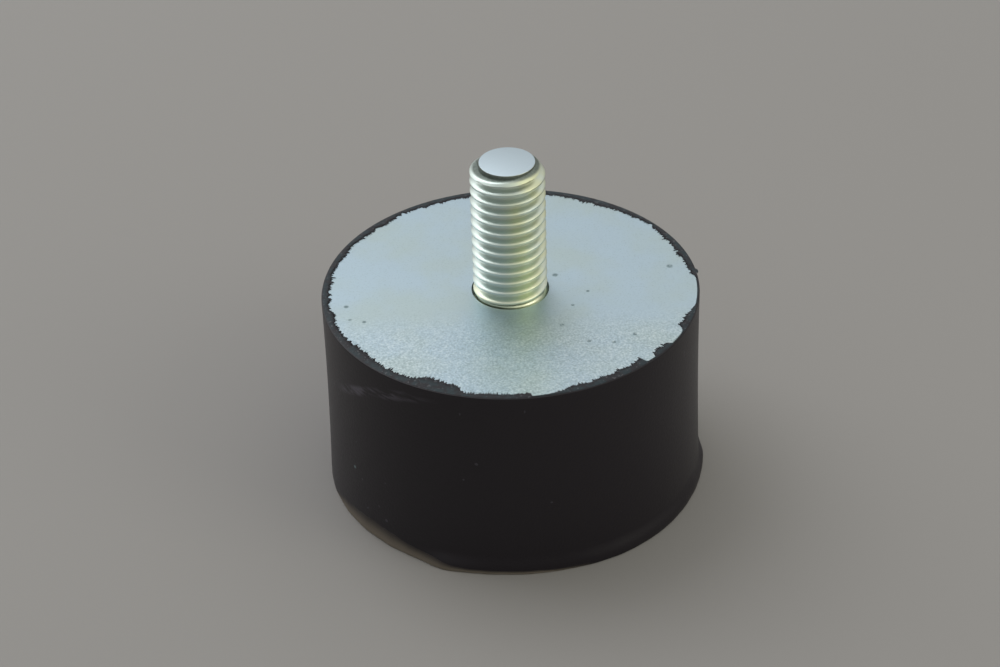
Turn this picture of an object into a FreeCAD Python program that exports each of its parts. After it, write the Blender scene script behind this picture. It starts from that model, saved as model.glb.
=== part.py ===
"""Bobbin vibration mount: a rubber cylinder bonded between two steel plates, with an M10 stud and an M10 tapped insert.

Lengths are in millimetres. The origin is the centre of the foot, and +Z runs up the stud.
"""

import FreeCAD, Part
import math
import os
import Sketcher

SIZES = [
    # Rubber moulding
    ("body_diameter", 50.0),
    ("overall_height", 28.0),
    ("foot_flare", 0.25),
    ("waist_depth", 0.15),
    ("rim_skin", 0.2),
    ("rim_bevel", 0.15),
    ("foot_lip_width", 0.4),
    ("foot_lip_height", 0.7),
    ("foot_lip_slope", 0.8),
    ("foot_lip_bevel", 0.25),
    # End plates
    ("plate_thickness", 2.0),
    ("plate_edge_break", 0.15),
    ("stud_hole_clearance", 0.25),
    ("insert_hole_clearance", 0.05),
    # Stud, M10 with a flat round head
    ("stud_diameter", 9.8),
    ("stud_reach", 19.45),
    ("stud_tip_chamfer", 1.2),
    ("stud_neck_relief", 0.4),
    ("stud_head_diameter", 18.0),
    ("stud_head_thickness", 3.0),
    ("stud_head_bevel", 0.6),
    # Insert, tapped M10
    ("insert_diameter", 16.0),
    ("insert_shoulder", 1.25),
    ("insert_bevel", 0.6),
    ("insert_end_wall", 3.5),
    ("tap_drill_diameter", 8.5),
    ("tap_depth", 9.0),
    ("tap_lead_in", 0.95),
]
DRILL_POINT_ANGLE = 118.0
COUNTERSINK_ANGLE = 90.0
# How far an edge may lie from the radius and height that name it
EDGE_MATCH = 1e-4

doc = FreeCAD.newDocument("bobbin_mount")
sheet = doc.addObject("Spreadsheet::Sheet", "sizes")
for row, (name, size) in enumerate(SIZES, start=1):
    sheet.set(f"A{row}", name)
    sheet.set(f"B{row}", str(size))
    sheet.setAlias(f"B{row}", name)
doc.recompute()

# Levels and radii that several pieces share, as expressions on the sheet
BODY_RADIUS = "sizes.body_diameter / 2"
FOOT_RADIUS = "sizes.body_diameter / 2 + sizes.foot_flare"
FOOT_LIP_RADIUS = f"{FOOT_RADIUS} + sizes.foot_lip_width"
WALL_START = "sizes.foot_lip_height + sizes.foot_lip_slope"
WALL_HEIGHT = "sizes.overall_height - sizes.foot_lip_height - sizes.foot_lip_slope"
WALL_CHORD_SQUARED = f"(({WALL_HEIGHT})^2 + sizes.foot_flare^2)"
WAIST_ARC_RADIUS = f"({WALL_CHORD_SQUARED} / 4 + sizes.waist_depth^2) / (2 * sizes.waist_depth)"
TOP = "sizes.overall_height"
TOP_PLATE_BACK = "sizes.overall_height - sizes.plate_thickness"
FOOT_PLATE_BACK = "sizes.plate_thickness"
PLATE_RADIUS = "sizes.body_diameter / 2 - sizes.rim_skin"
PLATE_FACE_RADIUS = f"{PLATE_RADIUS} - sizes.plate_edge_break"
STUD_RADIUS = "sizes.stud_diameter / 2"
STUD_HEAD_RADIUS = "sizes.stud_head_diameter / 2"
STUD_HEAD_END = f"{TOP_PLATE_BACK} - sizes.stud_head_thickness"
STUD_TIP = "sizes.overall_height + sizes.stud_reach"
INSERT_RADIUS = "sizes.insert_diameter / 2"
SPIGOT_RADIUS = f"{INSERT_RADIUS} - sizes.insert_shoulder"
INSERT_END = "sizes.tap_depth + sizes.insert_end_wall"
STUD_HOLE_DIAMETER = "sizes.stud_diameter + 2 * sizes.stud_hole_clearance"
INSERT_HOLE_DIAMETER = f"2 * ({SPIGOT_RADIUS} + sizes.insert_hole_clearance)"

# Each outline is a half section that starts and ends on the axis, as (radius, height) corners
MOULDING_OUTLINE = [
    ("0", "0"),
    (FOOT_LIP_RADIUS, "0"),
    (FOOT_LIP_RADIUS, "sizes.foot_lip_height"),
    (FOOT_RADIUS, WALL_START),
    (BODY_RADIUS, TOP),
    ("0", TOP),
]
MOULDING_WALL_SIDE = 3
TOP_PLATE_OUTLINE = [
    ("0", TOP_PLATE_BACK),
    (PLATE_RADIUS, TOP_PLATE_BACK),
    (PLATE_RADIUS, f"{TOP} - sizes.plate_edge_break"),
    (PLATE_FACE_RADIUS, TOP),
    ("0", TOP),
]
FOOT_PLATE_OUTLINE = [
    ("0", "0"),
    (PLATE_FACE_RADIUS, "0"),
    (PLATE_RADIUS, "sizes.plate_edge_break"),
    (PLATE_RADIUS, FOOT_PLATE_BACK),
    ("0", FOOT_PLATE_BACK),
]
STUD_HEAD_OUTLINE = [
    ("0", STUD_HEAD_END),
    (f"{STUD_HEAD_RADIUS} - sizes.stud_head_bevel", STUD_HEAD_END),
    (STUD_HEAD_RADIUS, f"{STUD_HEAD_END} + sizes.stud_head_bevel"),
    (STUD_HEAD_RADIUS, TOP_PLATE_BACK),
    ("0", TOP_PLATE_BACK),
]
STUD_SHANK_OUTLINE = [
    ("0", TOP_PLATE_BACK),
    (f"{STUD_RADIUS} - sizes.stud_neck_relief", TOP_PLATE_BACK),
    (f"{STUD_RADIUS} - sizes.stud_neck_relief", TOP),
    (STUD_RADIUS, TOP),
    (STUD_RADIUS, f"{STUD_TIP} - sizes.stud_tip_chamfer"),
    (f"{STUD_RADIUS} - sizes.stud_tip_chamfer", STUD_TIP),
    ("0", STUD_TIP),
]
INSERT_SPIGOT_OUTLINE = [
    ("0", "0"),
    (SPIGOT_RADIUS, "0"),
    (SPIGOT_RADIUS, FOOT_PLATE_BACK),
    ("0", FOOT_PLATE_BACK),
]
INSERT_BUSH_OUTLINE = [
    ("0", FOOT_PLATE_BACK),
    (INSERT_RADIUS, FOOT_PLATE_BACK),
    (INSERT_RADIUS, f"{INSERT_END} - sizes.insert_bevel"),
    (f"{INSERT_RADIUS} - sizes.insert_bevel", INSERT_END),
    ("0", INSERT_END),
]


def size_of(expression):
    """The length that an expression on the sheet gives, in millimetres."""
    return float(sheet.evalExpression(expression))


def new_body(label):
    body = doc.addObject("PartDesign::Body", label)
    body.Label = label
    return body


def new_sketch(body, name, plane_role):
    """An empty sketch flat on one of the body's own origin planes."""
    plane = next(f for f in body.Origin.OriginFeatures if f.Role == plane_role)
    sketch = body.newObject("Sketcher::SketchObject", name)
    sketch.AttachmentSupport = [(plane, "")]
    sketch.MapMode = "FlatFace"
    return sketch


def bind(sketch, constraint, expression):
    """Adds a dimension and ties it to the sheet."""
    index = sketch.addConstraint(constraint)
    sketch.setExpression(f"Constraints[{index}]", expression)


def hold_point(sketch, line, end, radius, height):
    """Holds one end of a line at its radius from the axis and its height above the foot."""
    if radius == "0":
        sketch.addConstraint(Sketcher.Constraint("PointOnObject", line, end, -2))
    else:
        across = Sketcher.Constraint("DistanceX", -1, 1, line, end, size_of(radius))
        bind(sketch, across, radius)
    if height == "0":
        sketch.addConstraint(Sketcher.Constraint("PointOnObject", line, end, -1))
    else:
        up = Sketcher.Constraint("DistanceY", -1, 1, line, end, size_of(height))
        bind(sketch, up, height)


def draw_outline(sketch, corners, waisted_side=None):
    """Closes a half section through the corners, with straight sides but for one that may draw in to a waist."""
    points = [FreeCAD.Vector(size_of(r), size_of(z), 0) for r, z in corners]
    for side, start in enumerate(points):
        end = points[(side + 1) % len(points)]
        if side == waisted_side:
            waist = (start + end) / 2 - FreeCAD.Vector(size_of("sizes.waist_depth"), 0, 0)
            sketch.addGeometry(Part.Arc(end, waist, start))
        else:
            sketch.addGeometry(Part.LineSegment(start, end))
    for side, (radius, height) in enumerate(corners):
        following = (side + 1) % len(corners)
        # The waist's arc runs anticlockwise about a centre outside the wall, so its upper end is its start
        finish = 1 if side == waisted_side else 2
        begin = 2 if following == waisted_side else 1
        sketch.addConstraint(Sketcher.Constraint("Coincident", side, finish, following, begin))
        hold_point(sketch, side, 2 if side == waisted_side else 1, radius, height)
    if waisted_side is not None:
        bow = Sketcher.Constraint("Radius", waisted_side, size_of(WAIST_ARC_RADIUS))
        bind(sketch, bow, WAIST_ARC_RADIUS)


def turn(body, name, corners, kind="PartDesign::Revolution", waisted_side=None):
    """Turns a half section about the stud's axis, to add it or, as a groove, to cut it."""
    sketch = new_sketch(body, f"{name}_section", "XZ_Plane")
    draw_outline(sketch, corners, waisted_side)
    doc.recompute()
    feature = body.newObject(kind, name)
    feature.Profile = sketch
    feature.ReferenceAxis = (sketch, ["V_Axis"])
    feature.Angle = 360
    doc.recompute()
    return feature


def circle_sketch(body, name, diameter):
    """A circle about the axis in the plane of the foot."""
    sketch = new_sketch(body, name, "XY_Plane")
    circle = Part.Circle(FreeCAD.Vector(0, 0, 0), FreeCAD.Vector(0, 0, 1), size_of(diameter) / 2)
    sketch.addGeometry(circle)
    sketch.addConstraint(Sketcher.Constraint("Coincident", 0, 3, -1, 1))
    bind(sketch, Sketcher.Constraint("Diameter", 0, size_of(diameter)), diameter)
    doc.recompute()
    return sketch


def pierce(body, name, diameter):
    """Cuts a round hole right through a plate on the axis."""
    pocket = body.newObject("PartDesign::Pocket", name)
    pocket.Profile = circle_sketch(body, f"{name}_circle", diameter)
    pocket.Type = "ThroughAll"
    pocket.Midplane = True
    doc.recompute()
    return pocket


def bevel_edge(body, name, base, radius, height, size):
    """Bevels the circular edge at one radius and height."""
    wanted = (size_of(radius), size_of(height))
    names = []
    for number, edge in enumerate(base.Shape.Edges, start=1):
        circle = edge.Curve
        if not isinstance(circle, Part.Circle):
            continue
        if math.dist((circle.Radius, circle.Center.z), wanted) < EDGE_MATCH:
            names.append(f"Edge{number}")
    bevel = body.newObject("PartDesign::Chamfer", name)
    bevel.Base = (base, names)
    bevel.setExpression("Size", size)
    doc.recompute()
    return bevel


def make_plate(label, outline, hole_diameter):
    """A punched steel disc with its outer edge broken on the side that shows."""
    body = new_body(label)
    turn(body, f"{label}_disc", outline)
    pierce(body, f"{label}_hole", hole_diameter)
    return body


def make_stud():
    """The stud's head lies on the plate's inner face, and its shank comes out through the plate's hole."""
    body = new_body("top_stud")
    turn(body, "stud_head", STUD_HEAD_OUTLINE)
    turn(body, "stud_shank", STUD_SHANK_OUTLINE)
    return body


def make_insert():
    """A turned bush whose spigot fills the plate's hole, tapped blind from the foot."""
    body = new_body("bottom_insert")
    turn(body, "insert_spigot", INSERT_SPIGOT_OUTLINE)
    turn(body, "insert_bush", INSERT_BUSH_OUTLINE)
    mouth = circle_sketch(body, "tapped_hole_circle", "sizes.tap_drill_diameter")
    hole = body.newObject("PartDesign::Hole", "tapped_hole")
    hole.Profile = mouth
    doc.recompute()
    hole.Reversed = True
    hole.DepthType = "Dimension"
    hole.setExpression("Depth", "sizes.tap_depth")
    hole.setExpression("Diameter", "sizes.tap_drill_diameter")
    hole.DrillPoint = "Angled"
    hole.DrillPointAngle = DRILL_POINT_ANGLE
    hole.HoleCutType = "Countersink"
    hole.setExpression("HoleCutDiameter", "sizes.tap_drill_diameter + 2 * sizes.tap_lead_in")
    hole.HoleCutCountersinkAngle = COUNTERSINK_ANGLE
    doc.recompute()
    return body


def make_rubber():
    """The moulding: a slightly waisted cylinder with a thin lip at its foot, wrapped round the metal."""
    body = new_body("rubber_body")
    moulding = turn(body, "moulding", MOULDING_OUTLINE, waisted_side=MOULDING_WALL_SIDE)
    bevelled = bevel_edge(body, "rim_bevel", moulding, BODY_RADIUS, TOP, "sizes.rim_bevel")
    bevel_edge(body, "foot_bevel", bevelled, FOOT_LIP_RADIUS, "0", "sizes.foot_lip_bevel")
    seats = {
        "top_plate_seat": TOP_PLATE_OUTLINE,
        "stud_head_seat": STUD_HEAD_OUTLINE,
        "foot_plate_seat": FOOT_PLATE_OUTLINE,
        "insert_seat": INSERT_BUSH_OUTLINE,
    }
    for name, seat_outline in seats.items():
        turn(body, name, seat_outline, kind="PartDesign::Groove")
    return body


pieces = [
    make_plate("top_plate", TOP_PLATE_OUTLINE, STUD_HOLE_DIAMETER),
    make_stud(),
    make_rubber(),
    make_plate("bottom_plate", FOOT_PLATE_OUTLINE, INSERT_HOLE_DIAMETER),
    make_insert(),
]
doc.recompute()

for item in doc.Objects:
    if {"Invalid", "Error"} & set(item.State):
        raise RuntimeError(f"{item.Label} failed: {item.State}")
for piece in pieces:
    if piece.Shape.isNull() or not piece.Shape.isValid():
        raise RuntimeError(f"{piece.Label} has no valid shape")

os.makedirs("parts", exist_ok=True)
for piece in pieces:
    piece.Shape.exportStep(f"parts/{piece.Label}.step")
    box = piece.Shape.optimalBoundingBox()
    print(f"{piece.Label}: {piece.Shape.Volume:.1f} mm3, {box.XLength:.2f} x {box.YLength:.2f} x {box.ZLength:.2f}")
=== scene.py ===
"""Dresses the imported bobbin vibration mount: moulded rubber, torn film, rolled thread and plated steel."""

import math

import bmesh
import bpy
from mathutils import Matrix, Vector, noise


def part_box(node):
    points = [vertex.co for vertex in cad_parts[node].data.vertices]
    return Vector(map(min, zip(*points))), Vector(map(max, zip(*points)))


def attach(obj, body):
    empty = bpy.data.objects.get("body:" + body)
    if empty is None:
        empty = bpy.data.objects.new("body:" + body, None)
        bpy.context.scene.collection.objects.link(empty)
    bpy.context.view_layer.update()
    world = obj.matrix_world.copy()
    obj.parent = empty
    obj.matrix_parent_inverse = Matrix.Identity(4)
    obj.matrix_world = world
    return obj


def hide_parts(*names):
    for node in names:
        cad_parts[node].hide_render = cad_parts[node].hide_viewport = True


bl_info = {
    "name": "Bobbin vibration mount",
    "version": (1, 0, 0),
    "blender": (4, 5, 0),
    "location": "View3D > Sidebar > Mount",
    "description": "Thread, moulded rubber, torn film and finishes for the packed vibration mount",
    "category": "Object",
}

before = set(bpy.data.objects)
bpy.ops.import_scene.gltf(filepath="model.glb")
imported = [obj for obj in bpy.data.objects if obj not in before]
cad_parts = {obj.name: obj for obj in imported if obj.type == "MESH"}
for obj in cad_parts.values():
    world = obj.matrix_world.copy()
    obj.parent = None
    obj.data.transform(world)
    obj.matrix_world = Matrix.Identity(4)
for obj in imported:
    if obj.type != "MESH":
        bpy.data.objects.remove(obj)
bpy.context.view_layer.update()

MM = 0.001
FULL_TURN = 2 * math.pi
ORIGIN = (0.0, 0.0, 0.0)
AXIS = (0.0, 0.0, 1.0)
WELD = 1e-6
SECTORS = 20
SHARP_EDGE = math.radians(32)
DRILL_HALF_ANGLE = math.radians(59)

# In millimetres: the bevel on the hidden edges of the stud's head and the insert, and the floor's depth
EDGE_BEVEL = 0.6
FLOOR_DROP = 0.02
# In metres: how far the floor reaches, and the point that the lamps face
FLOOR_REACH = 3.0
LAMP_AIM = Vector((0.0, 0.0, 0.02))


def level(node, end):
    """Height of a CAD node's foot (end 0) or top (end 1), in millimetres."""
    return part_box(node)[end].z / MM


def reach(node):
    """Outer radius of a CAD node, in millimetres."""
    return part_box(node)[1].x / MM


TOP = level("rubber_body", 1)
PLATE_BACK = level("top_plate", 0)
HEAD_BACK = level("top_stud", 0)
STUD_TIP = level("top_stud", 1)
FOOT_PLATE_BACK = level("bottom_plate", 1)
INSERT_END = level("bottom_insert", 1)
PLATE_RADIUS = reach("top_plate")
HEAD_RADIUS = reach("top_stud")
INSERT_RADIUS = reach("bottom_insert")

# Bevelled inner edges of the stud's head and of the insert, as (radius, height) corners
HEAD_EDGE = [(HEAD_RADIUS, HEAD_BACK + EDGE_BEVEL), (HEAD_RADIUS - EDGE_BEVEL, HEAD_BACK)]
INSERT_EDGE = [(INSERT_RADIUS, INSERT_END - EDGE_BEVEL), (INSERT_RADIUS - EDGE_BEVEL, INSERT_END)]

# Angles are in degrees about the axis from +X, so -90 faces the camera. Lengths are in millimetres.
# How far the rubber film reaches in from the rim over the top plate
FILM_REACH = (
    (-180.0, 1.05), (-176.0, 1.05), (-171.0, 0.85), (-166.5, 1.25), (-163.5, 1.0), (-155.5, 0.9),
    (-154.0, 1.2), (-149.0, 1.15), (-148.3, 1.55), (-142.0, 1.5), (-136.5, 1.35), (-135.0, 1.1),
    (-127.0, 1.15), (-123.0, 1.35), (-120.5, 1.75), (-118.7, 2.45), (-112.0, 2.35), (-107.6, 2.1),
    (-106.6, 1.65), (-105.9, 1.1), (-102.2, 0.75), (-99.8, 1.1), (-95.0, 0.95), (-89.0, 1.05),
    (-84.9, 1.05), (-84.5, 0.35), (-79.5, 0.4), (-77.0, 0.6), (-73.6, 0.95), (-70.9, 1.2), (-66.1, 1.1),
    (-62.9, 1.45), (-56.4, 1.25), (-54.1, 1.4), (-48.8, 1.2), (-47.0, 1.5), (-46.3, 1.65), (-46.1, 0.35),
    (-42.8, 0.3), (-41.4, 0.8), (-39.6, 1.15), (-35.3, 1.0), (-33.9, 0.25), (-27.6, 0.22), (-25.9, 0.45),
    (-24.2, 1.2), (-19.6, 1.05), (-15.2, 0.6), (-11.0, 0.28), (3.0, 0.25), (4.5, 0.7), (8.0, 0.85),
    (15.0, 1.05), (28.0, 1.0), (35.8, 0.85), (36.7, 0.45), (38.5, 0.8), (49.0, 1.1), (60.0, 1.4),
    (76.0, 1.1), (90.0, 1.05), (107.0, 1.25), (120.0, 1.15), (127.0, 0.85), (136.0, 1.35), (147.0, 1.05),
    (152.0, 0.8), (158.0, 1.05), (167.0, 0.85), (173.0, 1.05), (180.0, 1.05),
)
# How far the foot lip reaches out past the rim's radius
LIP_REACH = (
    (-180.0, 0.25), (-165.0, 0.26), (-136.0, 0.22), (-121.0, 0.3), (-116.5, 0.7), (-112.4, 0.95),
    (-107.0, 0.72), (-101.0, 0.52), (-95.0, 0.43), (-74.0, 0.43), (-66.0, 0.6), (-58.0, 0.73),
    (-43.0, 0.76), (-24.0, 0.7), (-9.0, 0.8), (0.0, 0.92), (4.0, 0.75), (30.0, 0.7), (80.0, 0.5),
    (130.0, 0.4), (165.0, 0.3), (180.0, 0.25),
)
# How high the lip fades out into the wall
LIP_TOP = (
    (-180.0, 2.9), (-20.0, 2.9), (-7.0, 1.5), (0.0, 1.2), (12.0, 1.3), (50.0, 2.9), (180.0, 2.9),
)
# How high the knife's scar stands where the lip was pared off
SCAR_HEIGHT = (
    (-180.0, 0.0), (-166.0, 0.0), (-156.0, 1.6), (-149.0, 2.3), (-138.0, 2.7), (-129.0, 2.3),
    (-123.6, 1.8), (-116.0, 1.55), (-110.0, 0.95), (-105.0, 0.68), (-84.0, 0.58), (-74.0, 0.25),
    (-67.0, 0.0), (180.0, 0.0),
)
# The wall is turned with stand-in heights, and its rows are then moved: those up to 1 to a share of the
# scar's height, those up to 4 over the rest of the lip, and those above stay
SCAR_ROWS_END = 1.0
LIP_ROW = 0.2
LIP_ROWS_END = 4.0
# Dark marks on the top plate: x, y and radius
PLATE_MARKS = (
    (6.0, 2.8, 0.36), (21.35, 4.2, 0.38), (-21.0, -6.5, 0.22), (-19.15, -7.05, 0.26),
    (10.2, -1.25, 0.22), (-21.6, -3.4, 0.3), (8.1, -4.45, 0.22), (9.9, -12.8, 0.28), (13.1, -13.2, 0.24),
    (15.85, -11.55, 0.26), (6.55, -9.0, 0.26),
)
# Pale specks on the rubber's wall: place and radius
SPECKS = (((-21.2, -13.45, 9.3), 0.22),)

# Colours of the light from all round: low and high in the sky, and left and right on the camera's side
SKY_LOW = (0.5, 0.5, 0.5)
SKY_HIGH = (1.0, 1.0, 1.0)
ROOM_LEFT = (0.42, 0.43, 0.41)
ROOM_RIGHT = (1.1, 1.1, 0.86)
ROOM_SHARE = 0.62


class MountSizes(bpy.types.PropertyGroup):
    """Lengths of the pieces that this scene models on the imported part."""

    rim_diameter: bpy.props.FloatProperty(
        name="Rim diameter", description="Diameter of the rubber at its top rim",
        default=0.050, min=0.01, unit="LENGTH", precision=5,
    )
    foot_flare: bpy.props.FloatProperty(
        name="Foot flare", description="How far the wall stands out from the rim just above the lip",
        default=0.00025, min=0.0, unit="LENGTH", precision=5,
    )
    waist_depth: bpy.props.FloatProperty(
        name="Waist depth", description="How far the wall bows in at half height",
        default=0.00015, min=0.0, unit="LENGTH", precision=5,
    )
    film_thickness: bpy.props.FloatProperty(
        name="Film thickness", description="Thickness of the rubber film over the top plate's edge",
        default=0.00009, min=0.00002, unit="LENGTH", precision=5,
    )
    thread_pitch: bpy.props.FloatProperty(
        name="Thread pitch", description="Distance between two turns of the stud's and the insert's thread",
        default=0.0015, min=0.0005, unit="LENGTH", precision=5,
    )
    thread_diameter: bpy.props.FloatProperty(
        name="Thread diameter", description="Diameter over the stud thread's crests",
        default=0.0098, min=0.002, unit="LENGTH", precision=5,
    )
    thread_depth: bpy.props.FloatProperty(
        name="Thread depth", description="Depth from a thread's crest to its root",
        default=0.00084, min=0.0001, unit="LENGTH", precision=5,
    )
    tip_diameter: bpy.props.FloatProperty(
        name="Tip diameter", description="Diameter of the flat end of the stud",
        default=0.0073, min=0.001, unit="LENGTH", precision=5,
    )
    neck_diameter: bpy.props.FloatProperty(
        name="Neck diameter", description="Diameter of the stud inside the plate's hole",
        default=0.009, min=0.001, unit="LENGTH", precision=5,
    )
    tap_drill_diameter: bpy.props.FloatProperty(
        name="Tap drill diameter", description="Diameter inside the insert thread's crests",
        default=0.0085, min=0.001, unit="LENGTH", precision=5,
    )
    tap_depth: bpy.props.FloatProperty(
        name="Tap depth", description="Depth of the insert's bore before its drill point",
        default=0.009, min=0.001, unit="LENGTH", precision=5,
    )


class MountColours(bpy.types.PropertyGroup):
    """Colours of the finishes."""

    zinc: bpy.props.FloatVectorProperty(
        name="Zinc", description="Pale blue-grey of the plated steel",
        default=(0.475, 0.59, 0.66), min=0.0, max=1.0, subtype="COLOR",
    )
    zinc_green: bpy.props.FloatVectorProperty(
        name="Greenish zinc", description="Clouds of greener passivation on the plating",
        default=(0.475, 0.575, 0.59), min=0.0, max=1.0, subtype="COLOR",
    )
    # Painted glints: the bright points on the front half of the top plate.
    painted_glint: bpy.props.FloatVectorProperty(
        name="Bright zinc", description="Bright points where the plating is frosted",
        default=(0.78, 0.84, 0.84), min=0.0, max=1.0, subtype="COLOR",
    )
    zinc_mark: bpy.props.FloatVectorProperty(
        name="Marks", description="Small dark marks in the plating",
        default=(0.16, 0.225, 0.235), min=0.0, max=1.0, subtype="COLOR",
    )
    thread: bpy.props.FloatVectorProperty(
        name="Thread", description="Warmer plating on the rolled thread",
        default=(0.665, 0.75, 0.705), min=0.0, max=1.0, subtype="COLOR",
    )
    straw: bpy.props.FloatVectorProperty(
        name="Straw tint", description="Yellowish passivation on one side of the stud",
        default=(0.76, 0.77, 0.46), min=0.0, max=1.0, subtype="COLOR",
    )
    # Painted reflection: the pale straw that lightens the stud round its foot.
    painted_foot_reflection: bpy.props.FloatVectorProperty(
        name="Pale straw", description="Lighter passivation round the foot of the stud",
        default=(0.84, 0.86, 0.64), min=0.0, max=1.0, subtype="COLOR",
    )
    stud_end: bpy.props.FloatVectorProperty(
        name="Stud end", description="Plating on the flat end of the stud",
        default=(0.54, 0.635, 0.69), min=0.0, max=1.0, subtype="COLOR",
    )
    # Painted shade: the dark ring round the end of the stud and the recess below its chamfer.
    painted_end_shade: bpy.props.FloatVectorProperty(
        name="Raw steel", description="Dull ring round the end of the stud",
        default=(0.17, 0.20, 0.18), min=0.0, max=1.0, subtype="COLOR",
    )
    rubber: bpy.props.FloatVectorProperty(
        name="Rubber", description="Dull black of the moulded rubber",
        default=(0.0108, 0.0082, 0.0120), min=0.0, max=1.0, subtype="COLOR",
    )
    # Partly the knife-cut rubber's own colour, partly a painted reflection of the floor.
    cut_face_and_floor_reflection: bpy.props.FloatVectorProperty(
        name="Cut rubber", description="Rough brownish face that the trimming knife left",
        default=(0.178, 0.152, 0.122), min=0.0, max=1.0, subtype="COLOR",
    )
    scuff: bpy.props.FloatVectorProperty(
        name="Scuff", description="Bluish bloom where the wall has been rubbed",
        default=(0.075, 0.068, 0.088), min=0.0, max=1.0, subtype="COLOR",
    )
    speck: bpy.props.FloatVectorProperty(
        name="Speck", description="Pale specks stuck to the wall",
        default=(0.16, 0.225, 0.235), min=0.0, max=1.0, subtype="COLOR",
    )
    film: bpy.props.FloatVectorProperty(
        name="Film", description="Greyer black of the thin film over the plate's edge",
        default=(0.013, 0.025, 0.032), min=0.0, max=1.0, subtype="COLOR",
    )
    film_fleck: bpy.props.FloatVectorProperty(
        name="Film fleck", description="Pale flecks in the thin film",
        default=(0.15, 0.15, 0.165), min=0.0, max=1.0, subtype="COLOR",
    )
    floor: bpy.props.FloatVectorProperty(
        name="Floor", description="Pale grey of the floor",
        default=(0.308, 0.294, 0.284), min=0.0, max=1.0, subtype="COLOR",
    )
    floor_mottle: bpy.props.FloatVectorProperty(
        name="Floor mottle", description="Slightly cooler grey of the floor's wide mottling",
        default=(0.312, 0.302, 0.296), min=0.0, max=1.0, subtype="COLOR",
    )


class MountStage(bpy.types.PropertyGroup):
    """Camera and lamps."""

    lens: bpy.props.FloatProperty(
        name="Lens", description="Focal length of the camera", default=95.4, min=10.0, unit="CAMERA",
    )
    lens_shift: bpy.props.FloatVectorProperty(
        name="Lens shift", description="Shift of the picture across and up, as a share of its width",
        default=(-0.01039, -0.04561), size=2, precision=5,
    )
    camera_distance: bpy.props.FloatProperty(
        name="Camera distance", description="From the camera to the middle of the top plate",
        default=0.35054, min=0.05, unit="LENGTH", precision=5,
    )
    camera_elevation: bpy.props.FloatProperty(
        name="Camera elevation", description="Height of the camera above the horizon",
        default=math.radians(33.61), unit="ROTATION",
    )
    camera_roll: bpy.props.FloatProperty(
        name="Camera roll", description="Turn of the camera about its own line of sight",
        default=math.radians(-1.61), unit="ROTATION",
    )
    daylight: bpy.props.FloatProperty(
        name="Daylight", description="Strength of the light from all round", default=0.7, min=0.0,
    )
    mirrored_daylight: bpy.props.FloatProperty(
        name="Mirrored daylight", description="Strength of the same light where it is seen or mirrored",
        default=0.85, min=0.0,
    )
    window: bpy.props.FloatProperty(
        name="Window", description="Power of the broad lamp up on the left",
        default=2.7, min=0.0, unit="POWER",
    )
    side_lamp: bpy.props.FloatProperty(
        name="Side lamps", description="Power of each lamp at the sides",
        default=0.5, min=0.0, unit="POWER",
    )


class Wire:
    """An output of a shader node. Its operators add Math nodes."""

    def __init__(self, graph, socket):
        self.graph = graph
        self.socket = socket

    def maths(self, operation, *operands):
        return self.graph.node("ShaderNodeMath", {"operation": operation}, dict(enumerate(operands)))

    def __add__(self, other):
        return self.maths("ADD", self, other)

    def __radd__(self, other):
        return self.maths("ADD", other, self)

    def __sub__(self, other):
        return self.maths("SUBTRACT", self, other)

    def __mul__(self, other):
        return self.maths("MULTIPLY", self, other)


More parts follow.
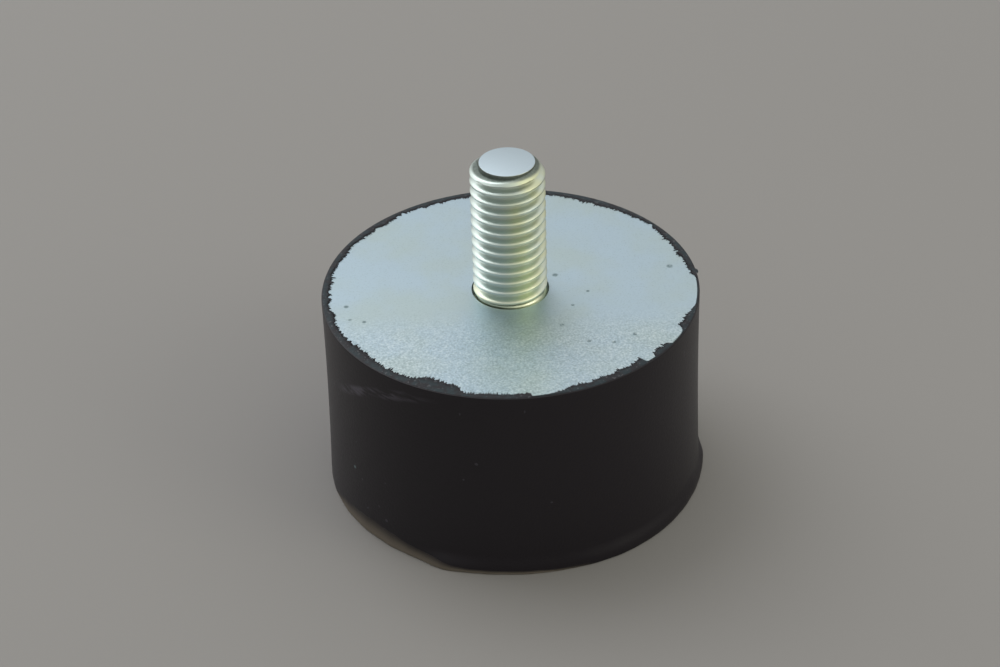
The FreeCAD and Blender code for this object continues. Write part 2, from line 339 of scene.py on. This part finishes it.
class Graph:
    """Builds the nodes of one material or of the world."""

    def __init__(self, tree):
        self.tree = tree
        tree.nodes.clear()

    def node(self, kind, settings=None, sockets=None, output=0):
        """Adds a node, its settings first, then its sockets' values or links, and gives one output."""
        made = self.tree.nodes.new(kind)
        for name, value in (settings or {}).items():
            setattr(made, name, value)
        for name, value in (sockets or {}).items():
            if isinstance(value, Wire):
                self.tree.links.new(value.socket, made.inputs[name])
            else:
                made.inputs[name].default_value = value
        return Wire(self, made.outputs[output]) if made.outputs else None

    def place(self):
        """Object coordinates, in metres."""
        return self.node("ShaderNodeTexCoord", output="Object")

    def along(self, axis):
        """One of the object coordinates, in millimetres."""
        return self.node("ShaderNodeSeparateXYZ", sockets={"Vector": self.place()}, output=axis) * (1 / MM)

    def stored(self, name):
        """A value that the mesh stores at its vertices."""
        return self.node("ShaderNodeAttribute", {"attribute_name": name}, output="Fac")

    def direction(self, axis):
        """One part of the direction in which the world is seen."""
        vector = self.node("ShaderNodeTexCoord", output="Generated")
        return self.node("ShaderNodeSeparateXYZ", sockets={"Vector": vector}, output=axis)

    def grain(self, cell, detail=2.0, stretch=(1.0, 1.0, 1.0)):
        """Noise between 0 and 1, with cells of about the given size in millimetres."""
        vector = self.node("ShaderNodeMapping", sockets={"Vector": self.place(), "Scale": stretch})
        sockets = {"Vector": vector, "Scale": 1 / (cell * MM), "Detail": detail}
        return self.node("ShaderNodeTexNoise", sockets=sockets)

    def step(self, value, low, high):
        """0 at low and 1 at high, with a soft step between them."""
        sockets = {"Value": value, "From Min": low, "From Max": high}
        return self.node("ShaderNodeMapRange", {"interpolation_type": "SMOOTHSTEP"}, sockets)

    def spot(self, place, radius, softness):
        """1 inside a round spot and 0 outside, all in millimetres."""
        sockets = {0: self.place(), 1: tuple(Vector(place) * MM)}
        away = self.node("ShaderNodeVectorMath", {"operation": "DISTANCE"}, sockets, "Value") * (1 / MM)
        return self.step(away, radius * (1 + softness), radius * (1 - softness))

    def mix(self, share, first, second):
        """Two colours mixed by a share from 0 to 1."""
        first, second = (c if isinstance(c, Wire) else (*c, 1.0) for c in (first, second))
        return self.node("ShaderNodeMix", {"data_type": "RGBA"}, {0: share, 6: first, 7: second}, 2)

    def bump(self, height, distance):
        """A normal from a height between 0 and 1 that stands for the distance in millimetres."""
        return self.node("ShaderNodeBump", sockets={"Height": height, "Distance": distance * MM})

    def surface(self, sockets):
        shader = self.node("ShaderNodeBsdfPrincipled", sockets=sockets)
        self.node("ShaderNodeOutputMaterial", sockets={"Surface": shader})


def new_material(name):
    material = bpy.data.materials.new(name)
    material.use_nodes = True
    return material, Graph(material.node_tree)


def plate_zinc(colours):
    """Bright zinc on a pressed plate: soft clouds of colour, a fine grain, a few dark marks, and painted
    glints on its front half.
    """
    material, graph = new_material("plate_zinc")
    clouds = graph.step(graph.grain(cell=9.0, detail=3.0), 0.35, 0.68)
    grain = graph.grain(cell=0.22, detail=3.0)
    pits = graph.step(grain, 0.52, 0.75)
    tone = graph.mix(clouds, colours.zinc, colours.zinc_green)
    tone = graph.mix(pits * 0.22, tone, colours.zinc_mark)
    marks = 0.0
    for x, y, radius in PLATE_MARKS:
        marks = graph.spot((x, y, TOP), radius, softness=0.5) + marks
    ragged = graph.step(graph.grain(cell=0.4, detail=1.0), 0.15, 0.5)
    tone = graph.mix(marks * ragged * 0.9, tone, colours.zinc_mark)
    # The front half has dark points of grain and bright points that are painted glints.
    frosted = graph.step(graph.along("Y"), -3.0, -13.0)
    frost = graph.grain(cell=0.27, detail=1.0)
    dark_points = graph.step(frost, 0.52, 0.68)
    painted_glints = graph.step(frost, 0.46, 0.34)
    tone = graph.mix(dark_points * frosted * 0.3, tone, colours.zinc_mark)
    tone = graph.mix(painted_glints * frosted * 0.38, tone, colours.painted_glint)
    graph.surface({
        "Base Color": tone,
        "Metallic": 1.0,
        "Roughness": 0.39 + graph.grain(cell=1.3) * 0.12,
        "Normal": graph.bump(grain, distance=0.006),
    })
    return material


def thread_zinc(colours):
    """Plating on the thread: straw-coloured on one side, lightened to pale straw round the foot as a painted
    reflection, with painted shade in a dark ring at the end.
    """
    material, graph = new_material("thread_zinc")
    across, depth, height = (graph.along(axis) for axis in "XYZ")
    side = graph.step(across - depth * 0.7, 1.6, 5.4)
    clouds = graph.step(graph.grain(cell=4.0, detail=1.0), 0.22, 0.6)
    foot = graph.step(height, TOP + 1.7, TOP + 0.4)
    end = graph.step(height, STUD_TIP - 0.03, STUD_TIP - 0.01)
    grain = graph.grain(cell=0.35)
    end_shade = graph.stored("end_shade")
    tone = graph.mix(side * clouds * 0.75, colours.thread, colours.straw)
    # Painted reflection: the stud is lightened to pale straw round its foot.
    tone = graph.mix(foot * 0.8, tone, colours.painted_foot_reflection)
    tone = graph.mix(end, tone, colours.stud_end)
    # Painted shade: the stored share darkens the recess below the chamfer and a ring under the end.
    tone = graph.mix(end_shade * (0.75 + grain * 0.4), tone, colours.painted_end_shade)
    graph.surface({
        "Base Color": tone,
        "Metallic": 1.0,
        "Roughness": 0.3 + grain * 0.1 + end_shade * 0.12 + end * 0.1,
        "Normal": graph.bump(grain, distance=0.006),
    })
    return material


def moulded_rubber(colours):
    """Dull black rubber with faint dots, a scuffed patch, a pale speck and a rough face where it is cut,
    whose pale brown is partly its own and partly a painted reflection of the floor.
    """
    material, graph = new_material("moulded_rubber")
    skin = graph.grain(cell=0.35, detail=3.0)
    cut = graph.stored("cut")
    dots = graph.step(graph.grain(cell=0.9, detail=0.0), 0.84, 0.88)
    tone = graph.mix(dots * 0.5, colours.rubber, colours.scuff)
    across, depth, height = (graph.along(axis) for axis in "XYZ")
    fall = height + depth * 0.66 + across * 0.13
    band = graph.step(fall, 9.2, 10.0) * graph.step(fall, 11.3, 10.5)
    sideways = graph.step(across, -9.0, -17.5) * graph.step(across, -23.5, -21.0)
    near_side = graph.step(depth, 1.0, -3.0)
    streaks = graph.step(graph.grain(cell=1.3, detail=3.0, stretch=(0.35, 0.35, 2.2)), 0.4, 0.62)
    tone = graph.mix(band * sideways * near_side * streaks, tone, colours.scuff)
    for place, radius in SPECKS:
        tone = graph.mix(graph.spot(place, radius, softness=0.5) * 0.8, tone, colours.speck)
    # The cut face: partly the trimmed rubber's colour, partly a painted reflection of the floor.
    tone = graph.mix(cut, tone, colours.cut_face_and_floor_reflection)
    graph.surface({
        "Base Color": tone,
        "Roughness": 0.35 + skin * 0.12 + cut * 0.37,
        "Specular IOR Level": 0.36,
        "Normal": graph.bump(skin, distance=0.02),
    })
    return material


def thin_film(colours):
    """The moulded rubber where it lies as a thin film, with pale flecks and painted shade that darkens its
    torn edge.
    """
    material, graph = new_material("thin_film")
    skin = graph.grain(cell=0.3, detail=3.0)
    edge = graph.stored("edge")
    clouds = graph.step(graph.grain(cell=1.1, detail=3.0), 0.4, 0.62)
    flecks = graph.step(graph.grain(cell=0.3), 0.6, 0.7)
    tone = graph.mix(clouds * 0.85, colours.film, colours.rubber)
    # Painted shade: the film is darkened to the rubber's black towards its torn edge.
    tone = graph.mix(edge, tone, colours.rubber)
    tone = graph.mix(flecks * 0.5, tone, colours.film_fleck)
    graph.surface({
        "Base Color": tone,
        "Roughness": 0.45 + skin * 0.2 + edge * 0.2,
        "Specular IOR Level": 0.35,
        "Normal": graph.bump(skin, distance=0.02),
    })
    return material


def table_value(table, angle):
    """The table's value at an angle, with straight runs between its entries."""
    for (start, first), (end, second) in zip(table, table[1:]):
        if angle <= end:
            return first + (second - first) * (angle - start) / (end - start)
    return table[-1][1]


def smooth(value, low, high):
    """0 at low and 1 at high, with a soft step between them."""
    share = min(max((value - low) / (high - low), 0.0), 1.0)
    return share * share * (3 - 2 * share)


def waver(angle, cycles, seed):
    """Smooth noise between about -1 and 1 round the axis."""
    turn = math.radians(angle)
    return noise.noise(Vector((math.cos(turn) * cycles, math.sin(turn) * cycles, seed)))


def polar(vert):
    """A vertex's radius, angle and height, in millimetres and degrees."""
    x, y, z = vert.co / MM
    return math.hypot(x, y), math.degrees(math.atan2(y, x)), z


def set_polar(vert, radius, angle, height):
    turn = math.radians(angle)
    vert.co = Vector((radius * math.cos(turn), radius * math.sin(turn), height)) * MM


def everything(bm):
    return bm.verts[:] + bm.edges[:] + bm.faces[:]


def lathe(bm, outline, steps, closed=False):
    """Spins an outline of (radius, height) corners right round the axis: one sector, then copies of it."""
    corners = [bm.verts.new((radius * MM, 0.0, height * MM)) for radius, height in outline]
    ends = corners[1:] + corners[:1] if closed else corners[1:]
    sides = [bm.edges.new(pair) for pair in zip(corners, ends)]
    sector = FULL_TURN / SECTORS
    bmesh.ops.spin(
        bm, geom=corners + sides, cent=ORIGIN, axis=AXIS, dvec=ORIGIN, angle=sector, steps=steps // SECTORS,
    )
    bmesh.ops.spin(
        bm, geom=everything(bm), cent=ORIGIN, axis=AXIS, dvec=ORIGIN, angle=FULL_TURN - sector,
        steps=SECTORS - 1, use_duplicate=True,
    )
    bmesh.ops.remove_doubles(bm, verts=bm.verts, dist=WELD)


def screw_sleeve(bm, radius, low, high, pitch, steps, rows):
    """An open sleeve of helical rows, cut square at its low and high ends: one turn, then copies of it."""
    start = low - 2 * pitch
    ends = [bm.verts.new((radius * MM, 0.0, height * MM)) for height in (start, start + pitch)]
    bmesh.ops.subdivide_edges(bm, edges=[bm.edges.new(ends)], cuts=rows - 1)
    turns = math.ceil((high - low) / pitch) + 3
    rise = pitch * MM
    bmesh.ops.spin(
        bm, geom=everything(bm), cent=ORIGIN, axis=AXIS, dvec=(0.0, 0.0, rise / steps), angle=FULL_TURN,
        steps=steps,
    )
    bmesh.ops.spin(
        bm, geom=everything(bm), cent=ORIGIN, axis=AXIS, dvec=(0.0, 0.0, rise), angle=0.0,
        steps=turns - 1, use_duplicate=True,
    )
    bmesh.ops.remove_doubles(bm, verts=bm.verts, dist=WELD)
    for height, outwards in ((low, -1.0), (high, 1.0)):
        bmesh.ops.bisect_plane(
            bm, geom=everything(bm), dist=WELD / 10,
            plane_co=(0.0, 0.0, height * MM), plane_no=(0.0, 0.0, outwards), clear_outer=True,
        )


def ring_at(bm, height):
    """The open edges at a height."""
    open_edges = (edge for edge in bm.edges if edge.is_boundary)
    return [edge for edge in open_edges if all(abs(v.co.z / MM - height) < 0.001 for v in edge.verts)]


def carry_on(bm, edges, corners):
    """Extrudes a ring of edges through more (radius, height) corners and gives the last ring."""
    for radius, height in corners:
        grown = bmesh.ops.extrude_edge_only(bm, edges=edges)["geom"]
        verts = {g for g in grown if isinstance(g, bmesh.types.BMVert)}
        for vert in verts:
            set_polar(vert, radius, polar(vert)[1], height)
        edges = [g for g in grown if isinstance(g, bmesh.types.BMEdge) and verts.issuperset(g.verts)]
    return edges


def thread_shape(away, pitch):
    """Depth of a thread from 0 at its crest to 1 at its root, by the distance from the crest's middle."""
    half_crest = pitch / 16
    half_root = pitch / 14
    straight = 0.35
    share = min(max((away - half_crest) / (pitch / 2 - half_crest - half_root), 0.0), 1.0)
    return straight * share + (1 - straight) * smooth(share, 0.0, 1.0)


def cut_thread(bm, pitch, crest_height, radius_at):
    """Moves a sleeve's vertices to a right-hand thread whose crest meets the front at a height.

    radius_at takes the depth's share, the height of the groove that a vertex is in, the vertex's height
    and its angle.
    """
    for vert in bm.verts:
        _, angle, height = polar(vert)
        lead = (angle + 90) / 360
        turns = (height - crest_height) / pitch - lead
        groove = math.floor(turns)
        away = min(turns - groove, groove + 1 - turns) * pitch
        groove_height = crest_height + (groove + 0.5 + lead) * pitch
        radius = radius_at(thread_shape(away, pitch), groove_height, height, angle)
        set_polar(vert, radius, angle, height)


def add_piece(name, bm, material):
    """Makes a closed bmesh an object that rides on the part."""
    bmesh.ops.recalc_face_normals(bm, faces=bm.faces)
    loose = sum(not edge.is_manifold for edge in bm.edges)
    if loose:
        raise RuntimeError(f"{name} isn't closed: {loose} edges don't join two faces")
    mesh = bpy.data.meshes.new(name)
    bm.to_mesh(mesh)
    bm.free()
    mesh.shade_smooth()
    mesh.set_sharp_from_angle(angle=SHARP_EDGE)
    mesh.materials.append(material)
    piece = bpy.data.objects.new(name, mesh)
    bpy.context.scene.collection.objects.link(piece)
    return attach(piece, "root")


def soft_lamp(name, power, size, place, colour=(1.0, 1.0, 1.0)):
    """A square area lamp that faces the object's middle, with its size and place in metres."""
    lamp = bpy.data.lights.new(name, "AREA")
    lamp.energy = power
    lamp.size = size
    lamp.color = colour
    stand = bpy.data.objects.new(name, lamp)
    bpy.context.scene.collection.objects.link(stand)
    stand.location = place
    stand.rotation_euler = (LAMP_AIM - stand.location).to_track_quat("-Z", "Y").to_euler()


class MOUNT_OT_stage(bpy.types.Operator):
    """Adds the floor, the light and the camera."""

    bl_idname = "mount.stage"
    bl_label = "Set the stage"

    def execute(self, context):
        scene = context.scene
        stage = scene.mount_stage
        self.add_floor(scene)
        self.light(scene, stage)
        self.add_camera(scene, stage)
        scene.view_settings.view_transform = "Standard"
        return {"FINISHED"}

    def add_floor(self, scene):
        bm = bmesh.new()
        bmesh.ops.create_grid(bm, x_segments=4, y_segments=4, size=FLOOR_REACH)
        mesh = bpy.data.meshes.new("floor")
        bm.to_mesh(mesh)
        bm.free()
        colours = scene.mount_colours
        material, graph = new_material("floor")
        tone = graph.mix(graph.grain(cell=60.0) * 0.5, colours.floor, colours.floor_mottle)
        graph.surface({"Base Color": tone, "Roughness": 0.75})
        mesh.materials.append(material)
        floor = bpy.data.objects.new("floor", mesh)
        floor.location.z = -FLOOR_DROP * MM
        scene.collection.objects.link(floor)

    def light(self, scene, stage):
        world = bpy.data.worlds.new("daylight")
        world.use_nodes = True
        scene.world = world
        graph = Graph(world.node_tree)
        across, depth, height = (graph.direction(axis) for axis in "XYZ")
        sky = graph.mix(graph.step(height, 0.0, 0.9), SKY_LOW, SKY_HIGH)
        room = graph.mix(graph.step(across, -0.2, 0.5), ROOM_LEFT, ROOM_RIGHT)
        sky = graph.mix(graph.step(depth, 0.75, -0.5) * ROOM_SHARE, sky, room)
        seen = 0.0
        for ray in ("Is Camera Ray", "Is Glossy Ray", "Is Transmission Ray"):
            seen = graph.node("ShaderNodeLightPath", output=ray) + seen
        seen = graph.node("ShaderNodeClamp", sockets={"Value": seen})
        strength = stage.daylight + seen * (stage.mirrored_daylight - stage.daylight)
        background = graph.node("ShaderNodeBackground", sockets={"Color": sky, "Strength": strength})
        graph.node("ShaderNodeOutputWorld", sockets={"Surface": background})
        soft_lamp("window", stage.window, 0.7, place=(-0.38, 0.36, 0.8), colour=(0.97, 1.0, 1.03))
        soft_lamp("side_lamp", stage.side_lamp, 0.5, place=(-0.5, 0.36, 0.2))
        soft_lamp("far_side_lamp", stage.side_lamp, 0.3, place=(0.5, -0.25, 0.4), colour=(1.0, 0.97, 0.88))

    def add_camera(self, scene, stage):
        lens = bpy.data.cameras.new("camera")
        lens.lens = stage.lens
        lens.shift_x, lens.shift_y = stage.lens_shift
        camera = bpy.data.objects.new("camera", lens)
        scene.collection.objects.link(camera)
        tilt = math.pi / 2 - stage.camera_elevation
        turn = Matrix.Rotation(tilt, 4, "X") @ Matrix.Rotation(stage.camera_roll, 4, "Z")
        back = turn.to_3x3() @ Vector((0.0, 0.0, stage.camera_distance))
        camera.matrix_world = Matrix.Translation(Vector((0.0, 0.0, TOP * MM)) + back) @ turn
        scene.camera = camera


class MOUNT_OT_plates(bpy.types.Operator):
    """Gives the two end plates their plating."""

    bl_idname = "mount.plates"
    bl_label = "Finish the end plates"

    def execute(self, context):
        zinc = plate_zinc(context.scene.mount_colours)
        for node in ("top_plate", "bottom_plate"):
            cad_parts[node].data.materials.clear()
            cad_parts[node].data.materials.append(zinc)
        return {"FINISHED"}


class MOUNT_OT_stud(bpy.types.Operator):
    """Models the stud with its rolled thread, chamfered end, neck and round head."""

    bl_idname = "mount.stud"
    bl_label = "Threaded stud"

    def execute(self, context):
        sizes = context.scene.mount_sizes
        pitch = sizes.thread_pitch / MM
        crest = sizes.thread_diameter / MM / 2
        depth = sizes.thread_depth / MM
        tip = sizes.tip_diameter / MM / 2
        neck = sizes.neck_diameter / MM / 2
        low = TOP - 0.8
        high = STUD_TIP - 0.05
        first_turn = TOP + 0.1
        full_turn = TOP + 0.95
        shallow = 0.35
        foot_swell = 0.23
        swell_top = TOP + 0.35
        chamfer_slope = 1.15
        chamfer_top = STUD_TIP - 0.15
        ledge_rim = 0.04
        crest_at_front = 0.18

        def chamfer_at(height):
            return tip + chamfer_slope * max(chamfer_top - height, 0.0)

        def radius_at(share, groove_height, height, angle):
            run_out = shallow + (1 - shallow) * smooth(groove_height, first_turn, full_turn)
            front = smooth(-math.sin(math.radians(angle)), 0.2, 0.7)
            swell = foot_swell * front * smooth(height, swell_top, TOP)
            threaded = min(crest - depth * share * run_out + swell, crest + foot_swell)
            chamfer = chamfer_at(height)
            last_groove = smooth(groove_height, STUD_TIP - 0.55, STUD_TIP - 0.4)
            ledge = smooth(height - groove_height + pitch / 2, 0.12, 0.26)
            chamfer -= last_groove * ledge * max(chamfer - tip - ledge_rim, 0.0)
            shoulder = neck + (height - low)
            return min(threaded, chamfer, shoulder)

        bm = bmesh.new()
        screw_sleeve(bm, crest, low, high, pitch, steps=144, rows=20)
        cut_thread(bm, pitch, crest_at_front, radius_at)
        rounded = [(tip - 0.03, STUD_TIP - 0.012), (tip - 0.09, STUD_TIP)]
        bmesh.ops.edgeloop_fill(bm, edges=carry_on(bm, ring_at(bm, high), rounded))
        # Painted shade: a share stored at each vertex that darkens the last groove's recess under the
        # chamfer and a ring just below the flat end.
        end_shade = bm.verts.layers.float.new("end_shade")
        for vert in bm.verts:
            radius, _, height = polar(vert)
            sunk = smooth(chamfer_at(height) - radius, 0.02, 0.15)
            near_end = smooth(height, STUD_TIP - 1.25, STUD_TIP - 1.05)
            ring = smooth(height, STUD_TIP - 0.75, STUD_TIP - 0.5)
            below_end = smooth(height, STUD_TIP - 0.03, STUD_TIP - 0.06)
            vert[end_shade] = max(sunk * near_end, ring) * below_end
        head = [(neck, PLATE_BACK), (HEAD_RADIUS, PLATE_BACK)] + HEAD_EDGE
        bmesh.ops.edgeloop_fill(bm, edges=carry_on(bm, ring_at(bm, low), head))
        stud = add_piece("threaded_stud", bm, thread_zinc(context.scene.mount_colours))
        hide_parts("top_stud")
        return {"FINISHED"}


class MOUNT_OT_insert(bpy.types.Operator):
    """Models the tapped insert in the foot, with its thread, lead-in and drill point."""

    bl_idname = "mount.insert"
    bl_label = "Tapped insert"

    def execute(self, context):
        sizes = context.scene.mount_sizes
        pitch = sizes.thread_pitch / MM
        crest = sizes.tap_drill_diameter / MM / 2
        depth = sizes.thread_depth / MM
        bore_end = sizes.tap_depth / MM
        run_out_low = bore_end - 2.0
        run_out_high = bore_end - 0.6
        mouth = 5.2
        spigot = INSERT_RADIUS - 1.25
        drill_tip = 0.3
        drill_height = (crest - drill_tip) / math.tan(DRILL_HALF_ANGLE)
        crest_at_front = 0.6

        def radius_at(share, groove_height, height, angle):
            run_out = smooth(groove_height, run_out_high, run_out_low)
            return max(crest + depth * share * run_out, mouth - height)

        bm = bmesh.new()
        screw_sleeve(bm, crest, 0.0, bore_end, pitch, steps=96, rows=16)
        cut_thread(bm, pitch, crest_at_front, radius_at)
        drill_point = [(drill_tip, bore_end + drill_height)]
        bmesh.ops.edgeloop_fill(bm, edges=carry_on(bm, ring_at(bm, bore_end), drill_point))
        outside = [(spigot, 0.0), (spigot, FOOT_PLATE_BACK), (INSERT_RADIUS, FOOT_PLATE_BACK)] + INSERT_EDGE
        bmesh.ops.edgeloop_fill(bm, edges=carry_on(bm, ring_at(bm, 0.0), outside))
        insert = add_piece("tapped_insert", bm, bpy.data.materials["thread_zinc"])
        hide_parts("bottom_insert")
        return {"FINISHED"}


class MOUNT_OT_rubber(bpy.types.Operator):
    """Models the moulded rubber with its waist, its uneven foot lip and the scar of a trimming knife."""

    bl_idname = "mount.rubber"
    bl_label = "Moulded rubber"

    def execute(self, context):
        sizes = context.scene.mount_sizes
        rim = sizes.rim_diameter / MM / 2
        flare = sizes.foot_flare / MM
        waist = sizes.waist_depth / MM
        rounding = 0.15
        seat = [
            (0.0, INSERT_END), *reversed(INSERT_EDGE), (INSERT_RADIUS, FOOT_PLATE_BACK),
            (PLATE_RADIUS, FOOT_PLATE_BACK), (PLATE_RADIUS, 0.0),
        ]
        scar_rows = [(rim, share) for share in (0.0, 0.07, 0.25, 0.5, 0.75, 0.93, SCAR_ROWS_END)]
        lip_rows = [(rim, SCAR_ROWS_END + step * LIP_ROW) for step in range(1, 16)]
        wall_rows = [(rim, LIP_ROWS_END + step * 2.0) for step in range(1, 12)]
        top = [
            (rim, TOP - 2 * rounding), (rim, TOP - rounding), (rim - 0.035, TOP - 0.055),
            (rim - rounding, TOP), (PLATE_RADIUS, TOP), (PLATE_RADIUS, PLATE_BACK),
            (HEAD_RADIUS, PLATE_BACK), *HEAD_EDGE, (0.0, HEAD_BACK),
        ]
        bm = bmesh.new()
        lathe(bm, seat + scar_rows + lip_rows + wall_rows + top, steps=540)
        cut = bm.verts.layers.float.new("cut")
        least_scar = 0.4
        row_gap = 0.05
        first_lip_row = SCAR_ROWS_END + LIP_ROW
        lip_waver = 0.03
        foot_rounding = 0.12
        foot_rounding_top = 0.14
        knife_stroke = 11.0
        stroke_hollow = 0.05
        for vert in bm.verts:
            radius, angle, height = polar(vert)
            if radius < rim - 0.01:
                continue
            scar = table_value(SCAR_HEIGHT, angle)
            scar_top = max(scar, least_scar)
            pared = 0.0
            if height <= SCAR_ROWS_END + 0.001:
                level_now = height * scar_top
                pared = min(scar / least_scar, 1.0)
                # Strongest at the floor and fading upwards, as the painted reflection of the floor on the
                # cut face.
                vert[cut] = pared * (1 - 0.85 * smooth(height, 0.2, 1.0))
            elif height < LIP_ROWS_END + 0.001:
                share = (height - first_lip_row) / (LIP_ROWS_END - first_lip_row)
                level_now = scar_top + row_gap + share * (LIP_ROWS_END - row_gap - scar_top)
            else:
                level_now = height
            out = self.wall_offset(level_now, flare, waist)
            lip = table_value(LIP_REACH, angle) + lip_waver * waver(angle, cycles=14, seed=3.0)
            lip_top = table_value(LIP_TOP, angle)
            out += (lip - flare) * (1 - smooth(level_now, 0.2 * lip_top, lip_top))
            out -= foot_rounding * (1 - smooth(level_now, 0.0, foot_rounding_top))
            if pared:
                facet = (angle % knife_stroke) / knife_stroke - 0.5
                roughness = 0.02 * waver(angle, cycles=60, seed=level_now)
                out += pared * (stroke_hollow * (4 * facet * facet - 1) + roughness)
            set_polar(vert, rim + out, angle, level_now)
        rubber = add_piece("moulded_rubber", bm, moulded_rubber(context.scene.mount_colours))
        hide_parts("rubber_body")
        return {"FINISHED"}

    @staticmethod
    def wall_offset(height, flare, waist):
        """How far the wall stands out from the rim's radius at a height."""
        lip_middle = 1.5
        share = min(max((height - lip_middle) / (TOP - lip_middle), 0.0), 1.0)
        return flare * (1 - share) - 4 * waist * share * (1 - share)


class MOUNT_OT_film(bpy.types.Operator):
    """Models the thin ragged film of rubber that the mould left over the top plate's edge."""

    bl_idname = "mount.film"
    bl_label = "Rubber film"

    def execute(self, context):
        sizes = context.scene.mount_sizes
        rim = sizes.rim_diameter / MM / 2
        thick = sizes.film_thickness / MM
        outer = rim - 0.14
        plate_face = PLATE_RADIUS - 0.15
        least_width = 0.08
        tooth_length = 0.75
        tooth_middle = 0.24
        slow_waver = 0.25
        sunk = 0.015
        burr_angle = 6.5
        burr_reach = 0.35
        # The section is 1 mm wide, so that its rows lie at shares of the film's reach
        section = [
            (outer, TOP - 2 * sunk), (outer, TOP + 0.3 * thick), (outer - 0.2, TOP + 0.9 * thick),
            (outer - 0.5, TOP + thick), (outer - 0.8, TOP + thick), (outer - 0.95, TOP + 0.8 * thick),
            (outer - 1.0, TOP + 0.2 * thick), (outer - 1.0, TOP - sunk), (outer - 0.5, TOP - sunk),
        ]
        bm = bmesh.new()
        lathe(bm, section, steps=3600, closed=True)
        edge = bm.verts.layers.float.new("edge")
        for vert in bm.verts:
            radius, angle, height = polar(vert)
            share = outer - radius
            # How far in towards the torn edge a vertex lies, for the film's painted shade there.
            vert[edge] = smooth(share, 0.6, 0.93)
            film_reach = table_value(FILM_REACH, angle)
            torn = smooth(film_reach, 0.2, 0.9)
            coarse = abs(waver(angle, cycles=110, seed=5.0))
            fine = abs(waver(angle, cycles=300, seed=9.0))
            teeth = tooth_length * (coarse + 0.7 * fine) - tooth_middle
            ragged = slow_waver * waver(angle, cycles=22, seed=1.0) + teeth
            inner = min(rim - film_reach - torn * ragged, outer - least_width)
            lift = 1 + 0.5 * waver(angle, cycles=40, seed=radius * 3)
            if height > TOP:
                height = TOP + (height - TOP) * lift
            height -= share * max(inner - plate_face, 0.0)
            burr = burr_reach * smooth(abs(angle - burr_angle), 2.0, 0.3) * smooth(share, 0.3, 0.0)
            set_polar(vert, outer - share * (outer - inner) + burr, angle, height)
        film = add_piece("rubber_film", bm, thin_film(context.scene.mount_colours))
        return {"FINISHED"}


class MOUNT_PT_panel(bpy.types.Panel):
    """Lists the operators that build the mount."""

    bl_label = "Bobbin mount"
    bl_space_type = "VIEW_3D"
    bl_region_type = "UI"
    bl_category = "Mount"

    def draw(self, context):
        for operator in OPERATORS:
            self.layout.operator(operator.bl_idname)


GROUPS = (MountSizes, MountColours, MountStage)
OPERATORS = (
    MOUNT_OT_stage, MOUNT_OT_plates, MOUNT_OT_stud, MOUNT_OT_insert, MOUNT_OT_rubber, MOUNT_OT_film,
)


def register():
    for group in GROUPS + OPERATORS + (MOUNT_PT_panel,):
        bpy.utils.register_class(group)
    bpy.types.Scene.mount_sizes = bpy.props.PointerProperty(type=MountSizes)
    bpy.types.Scene.mount_colours = bpy.props.PointerProperty(type=MountColours)
    bpy.types.Scene.mount_stage = bpy.props.PointerProperty(type=MountStage)


def unregister():
    del bpy.types.Scene.mount_stage
    del bpy.types.Scene.mount_colours
    del bpy.types.Scene.mount_sizes
    for group in reversed(GROUPS + OPERATORS + (MOUNT_PT_panel,)):
        bpy.utils.unregister_class(group)


def main():
    register()
    bpy.ops.mount.stage()
    bpy.ops.mount.plates()
    bpy.ops.mount.stud()
    bpy.ops.mount.insert()
    bpy.ops.mount.rubber()
    bpy.ops.mount.film()


if __name__ == "__main__":
    main()
